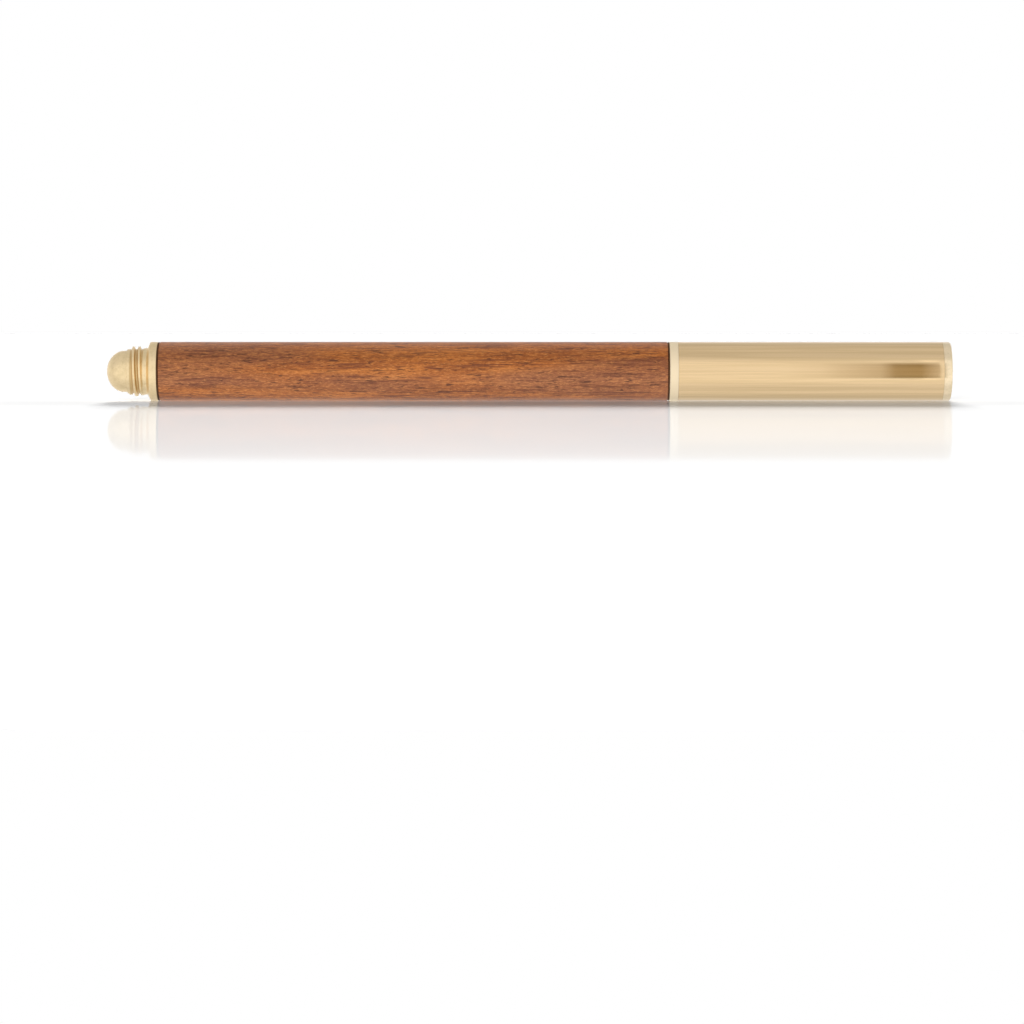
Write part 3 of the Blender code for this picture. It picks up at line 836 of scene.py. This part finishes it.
def floor():
    """White gloss table. Its mirror image of the pen fades out towards the camera.

    Every ray but the camera's sees it glow with painted light, in soft bands by distance in front of
    the pen, dimmer near it as painted shade.
    """
    half = 0.45
    whiteness, mirror, fade_length = 0.93, 0.36, 0.40
    bands_from, diffuse_power = -20 * MM, 1.35
    look = Look("white_table")
    axes = look.axes()
    # Painted shadow: the table's white is darkened in a band in front of the pen.
    white = look.mix(look.math("SUBTRACT", whiteness, painted_contact_shadow(look, axes)), (0, 0, 0), (1, 1, 1))
    diffuse = look.node("BsdfDiffuse", {"Color": white}).outputs[0]
    gloss = look.node("BsdfGlossy", {"Color": (1, 1, 1, 1), "Roughness": 0.04}).outputs[0]
    fade = look.spread(axes["Y"], -fade_length, 0.0, 0.0, mirror)
    seen = look.node("MixShader", {0: fade, 1: diffuse, 2: gloss}).outputs[0]
    # Painted light and shade: the glow that every ray but the camera's sees, in bands that dim close to
    # the pen.
    bands = look.levels(
        look.part_way(axes["Y"], bands_from, 0.0),
        (0.0, 0.98), (0.3, 1.0), (0.52, 1.0), (0.63, 0.89), (0.71, 0.79),
        (0.77, 0.77), (0.82, 0.82), (0.87, 0.66), (0.92, 0.70), (1.0, 0.85),
    )
    rays = look.node("LightPath").outputs
    power = look.spread(rays["Is Diffuse Ray"], 0.0, 1.0, 1.0, diffuse_power)
    bounced = look.node("Emission", {"Color": bands, "Strength": power}).outputs[0]
    both = look.node("MixShader", {0: rays["Is Camera Ray"], 1: bounced, 2: seen})
    look.surface(both.outputs[0])
    corners = [(-half, -half, 0), (half, -half, 0), (half, half, 0), (-half, half, 0)]
    made = flat_sheet("floor", corners, look)


def painted_reflection_card():
    """Painted reflection for the cap: a small card in front of the cap's end that glows brown, with a
    glowing bright line above and below the brown.

    Only the cap's polish shows it. It faces away from the cap and only its back shows, so it is
    clear from the camera's side, and a short ray length keeps it out of the floor's mirror image.
    """
    y = -11 * MM
    low_x, high_x, low_z, high_z = 44 * MM, 71.2 * MM, 0.4 * MM, 13.6 * MM
    near, far, one_bounce = 8 * MM, 10 * MM, 1.5
    look = Look("painted_reflection_look")
    axes = look.axes()
    across = look.part_way(axes["X"], low_x, high_x)
    up = look.part_way(axes["Z"], low_z, high_z)
    dark = look.math(
        "MULTIPLY",
        look.levels(across, (0.0, 0.0), (0.22, 0.12), (0.34, 0.28), (0.44, 0.38), (0.59, 0.52),
                    (0.68, 0.95), (0.84, 1.0), (0.92, 0.75), (0.98, 0.6), (0.992, 0.0)),
        look.levels(up, (0.035, 0.0), (0.10, 1.0), (0.69, 1.0), (0.835, 0.25), (0.87, 0.0)),
    )
    lines = look.math(
        "MULTIPLY",
        look.levels(across, (0.73, 0.0), (0.88, 1.0), (0.988, 1.0), (0.992, 0.0)),
        look.levels(up, (0.0, 1.0), (0.04, 1.0), (0.06, 0.0), (0.87, 0.0), (0.90, 1.0), (1.0, 1.0)),
    )
    rays = look.node("LightPath").outputs
    solid = look.math("MAXIMUM", dark, lines)
    solid = look.math("MULTIPLY", solid, look.node("NewGeometry").outputs["Backfacing"])
    solid = look.math("MULTIPLY", solid, look.spread(rays["Ray Length"], near, far, 1.0, 0.0))
    solid = look.math("MULTIPLY", solid, look.math("LESS_THAN", rays["Glossy Depth"], one_bounce))
    brown = look.ramp(
        up,
        (0.10, (0.35, 0.30, 0.19)),
        (0.22, (0.45, 0.365, 0.235)),
        (0.50, (0.45, 0.365, 0.235)),
        (0.64, (0.35, 0.28, 0.17)),
    )
    # Painted reflection: a brown glow for the dark patch, and a glow brighter than white for the lines.
    colour = look.mix(lines, brown, (1.30, 1.28, 1.25))
    clear = look.node("BsdfTransparent").outputs[0]
    glow = look.node("Emission", {"Color": colour, "Strength": 1.0}).outputs[0]
    look.surface(look.node("MixShader", {0: solid, 1: clear, 2: glow}).outputs[0])
    corners = [(low_x, y, low_z), (high_x, y, low_z), (high_x, y, high_z), (low_x, y, high_z)]
    made = flat_sheet("painted_reflection_card", corners, look)
    made.visible_camera = made.visible_diffuse = made.visible_shadow = False


def sun(name, azimuth, elevation, strength, spread, floor_only=None):
    """A soft sun that no polished face mirrors. Azimuth 0 is the camera's side.

    floor_only says whether it lights the floor alone (True) or all but the floor (False).
    """
    data = bpy.data.lights.new(name, "SUN")
    data.energy = strength
    data.angle = math.radians(spread)
    made = bpy.data.objects.new(name, data)
    round_z, up = math.radians(azimuth), math.radians(elevation)
    flat = math.cos(up)
    towards = Vector((math.sin(round_z) * flat, -math.cos(round_z) * flat, math.sin(up)))
    made.rotation_euler = towards.to_track_quat("Z", "Y").to_euler()
    made.visible_glossy = False
    bpy.context.scene.collection.objects.link(made)
    if floor_only is not None:
        lit = bpy.data.collections.new(name + "_reach")
        lit.objects.link(bpy.data.objects["floor"])
        lit.collection_objects[0].light_linking.link_state = "INCLUDE" if floor_only else "EXCLUDE"
        made.light_linking.receiver_collection = lit


def room():
    """White to the camera, dim to matt faces. To polish it is bright low down, darker overhead."""
    dim = 0.20
    world = bpy.data.worlds.new("studio")
    bpy.context.scene.world = world
    world.use_nodes = True
    nodes = Nodes(world.node_tree)
    axes = nodes.node("SeparateXYZ", {0: nodes.node("TexCoord").outputs["Generated"]}).outputs
    forward = nodes.math("MULTIPLY", axes["Y"], -1.0)
    angle = nodes.math("ARCTAN2", axes["Z"], forward)
    bright = nodes.levels(
        nodes.part_way(angle, 0.0, math.pi),
        (0.0, 0.97), (0.066, 0.94), (0.13, 0.98), (0.196, 0.95), (0.265, 0.81), (0.34, 0.68),
        (0.42, 0.67), (0.51, 0.70), (0.61, 0.66), (0.75, 0.60), (0.95, 1.0),
    )
    rays = nodes.node("LightPath").outputs
    bounced = nodes.choose(rays["Is Glossy Ray"], dim, bright)
    background = nodes.tree.nodes["Background"].inputs
    nodes.feed(background["Strength"], nodes.choose(rays["Is Camera Ray"], bounced, 1.0))
    nodes.feed(background["Color"], (1, 1, 1, 1))


def studio():
    floor()
    painted_reflection_card()
    room()
    sun("back_light", azimuth=180, elevation=20, strength=6.6, spread=16, floor_only=True)
    sun("rear_light", azimuth=180, elevation=55, strength=1.7, spread=30, floor_only=False)
    sun("front_light", azimuth=-15, elevation=28, strength=1.25, spread=30)
    bpy.context.scene.view_settings.view_transform = "Standard"


def main():
    tail_thread = (TAIL_LOW.x + 3.95 * MM, TAIL_LOW.x + 6.2 * MM)
    cap_thread = (COLLAR_X + 1.0 * MM, COLLAR_FACE_X - 0.1 * MM)
    wood = hardwood()
    satin = brass("satin_brass", TAIL_BRASS, 0.36, marks=1.0, patina=0.5, thread=tail_thread)
    ring = brass("ring_brass", RING_BRASS, 0.65, marks=1.0, thread=cap_thread)
    drawn = brass("drawn_brass", CAP_BRASS, 0.12, marks=0.1, streaks=1.0)
    faced = brass("faced_brass", PLUG_BRASS, 0.20, marks=0.6, patina=0.35)
    bright = brass("bright_brass", GRIP_BRASS, 0.18, marks=0.3, streaks=0.4)
    inner = brass("inner_brass", INNER_BRASS, 0.30, marks=1.0)
    rubber = plastic("washer_rubber", (0.085, 0.034, 0.008), 0.8)
    white = plastic("plug_plastic", (0.72, 0.72, 0.70), 0.45)
    black = plastic("nose_plastic", (0.03, 0.03, 0.034), 0.4)
    liner = plastic("liner_plastic", (0.04, 0.04, 0.044), 0.5)
    soaked = fibre("ink_reservoir_fibre", (0.012, 0.016, 0.05))
    felt = fibre("wick_felt", (0.02, 0.02, 0.05))
    tube_steel = steel("refill_steel", (0.62, 0.62, 0.64), 0.28, 0.3)
    point = steel("tip_steel", (0.60, 0.56, 0.56), 0.16, 0.8, bright_from=CONE_X)
    wire = steel("spring_wire", (0.60, 0.60, 0.62), 0.25, 0.3)
    carbide = steel("ball_carbide", (0.50, 0.50, 0.52), 0.10, 0.1)
    camera()
    wood_sleeve(wood)
    barrel_tube(inner)
    washer("tail_washer", "barrel", rubber)
    washer("front_washer", "section_carriage", rubber)
    tail_finial(satin)
    front_collar(ring)
    grip_cone(bright)
    refill_tube(tube_steel)
    refill_end_plug(white)
    refill_nose(black)
    fibre_rod("ink_reservoir", soaked, 2.55 * MM)
    fibre_rod("feed_wick", felt, 0.45 * MM)
    tip_holder(point)
    writing_ball(carbide)
    spring(wire)
    cap_tube(drawn)
    cap_thread_insert(inner)
    cap_end_plug(faced)
    inner_cap(liner)
    studio()


main()
